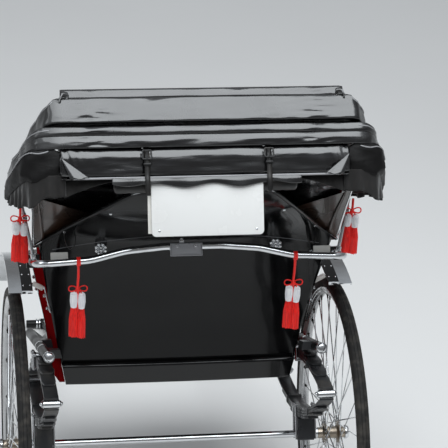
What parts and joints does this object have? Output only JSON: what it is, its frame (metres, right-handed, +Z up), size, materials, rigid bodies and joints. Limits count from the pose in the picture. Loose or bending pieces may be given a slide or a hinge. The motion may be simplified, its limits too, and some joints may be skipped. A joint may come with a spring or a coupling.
{
  "type": "pulled rickshaw",
  "caption": "Two-wheeled passenger rickshaw parked on its shafts, with a lacquered body, leaf springs, wire wheels and a folded hood.",
  "frame": {"origin": "on the floor, at the centre of the bounding box of the parked vehicle", "axes": "+X to the passenger's right, +Y forward towards the grab bar, +Z up; the body is parked nose down on its shafts"},
  "size_m": [1.224, 2.2573, 1.9819],
  "materials": {
    "tyre": "matt black rubber",
    "rim_steel": "plated steel rims, slightly dulled",
    "chrome_tube": "bright plated steel",
    "spring_steel": "dark grey painted leaf springs",
    "black_lacquer": "glossy black lacquer on wood",
    "red_lacquer": "glossy dark red lacquer on wood",
    "hood_cloth": "glossy black coated hood cloth",
    "hood_lining": "brown grey lining cloth",
    "strap_leather": "black leather",
    "black_steel": "black enamel",
    "seat_cloth": "red woven seat cloth",
    "sign_white": "white enamel, blank",
    "plate_grey": "dark grey blank plate",
    "tassel_red": "red and white twisted cord"
  },
  "bodies": {
    "carriage": {"armrests": "strap_leather", "axle": "chrome_tube", "axle_pad_left": "spring_steel", "axle_pad_right": "spring_steel", "back_cushion": "seat_cloth", "bearers": "spring_steel", "body_back": "black_lacquer", "body_floor": "black_lacquer", "body_moulding": "black_lacquer", "body_shell": "black_lacquer", "body_side_left": "red_lacquer", "body_side_right": "red_lacquer", "dash_board": "black_lacquer", "foot_board": "black_lacquer", "grab_bar": "black_lacquer", "hood_band": "hood_cloth", "hood_curtain": "hood_lining", "hood_drape_left": "hood_lining", "hood_drape_right": "hood_lining", "hood_pleats": "hood_cloth", "hood_rest": "strap_leather", "hood_roll": "hood_cloth", "hood_side_left": "hood_cloth", "hood_side_right": "hood_cloth", "hood_stays": "chrome_tube", "hood_straps": "strap_leather", "hood_top": "hood_cloth", "mudguard_left": "chrome_tube", "mudguard_right": "chrome_tube", "mudguard_stays": "chrome_tube", "number_plate": "plate_grey", "push_bar": "chrome_tube", "push_bar_brackets": "black_steel", "seat_board": "black_lacquer", "seat_cushion": "seat_cloth", "seat_front_board": "black_lacquer", "shaft_left": "black_lacquer", "shaft_right": "black_lacquer", "sign_board": "sign_white", "spring_clamp_left": "chrome_tube", "spring_clamp_right": "chrome_tube", "spring_eyes_left": "chrome_tube", "spring_eyes_right": "chrome_tube", "spring_lower_left": "spring_steel", "spring_lower_right": "spring_steel", "spring_upper_left": "spring_steel", "spring_upper_right": "spring_steel", "tassels": "tassel_red", "wing_board_left": "black_lacquer", "wing_board_right": "black_lacquer"},
    "wheel_left": {"tyre_left": "tyre", "rim_left": "rim_steel", "spokes_left": "rim_steel", "hub_left": "rim_steel"},
    "wheel_right": {"tyre_right": "tyre", "rim_right": "rim_steel", "spokes_right": "rim_steel", "hub_right": "rim_steel"}
  },
  "joints": [
    {"name": "wheel_left_spin", "type": "hinge", "parent": "carriage", "child": "wheel_left", "pos_m": [-0.55, -0.5837, 0.545], "axis": [1, 0, 0], "continuous": true},
    {"name": "wheel_right_spin", "type": "hinge", "parent": "carriage", "child": "wheel_right", "pos_m": [0.55, -0.5837, 0.545], "axis": [1, 0, 0], "continuous": true}
  ]
}
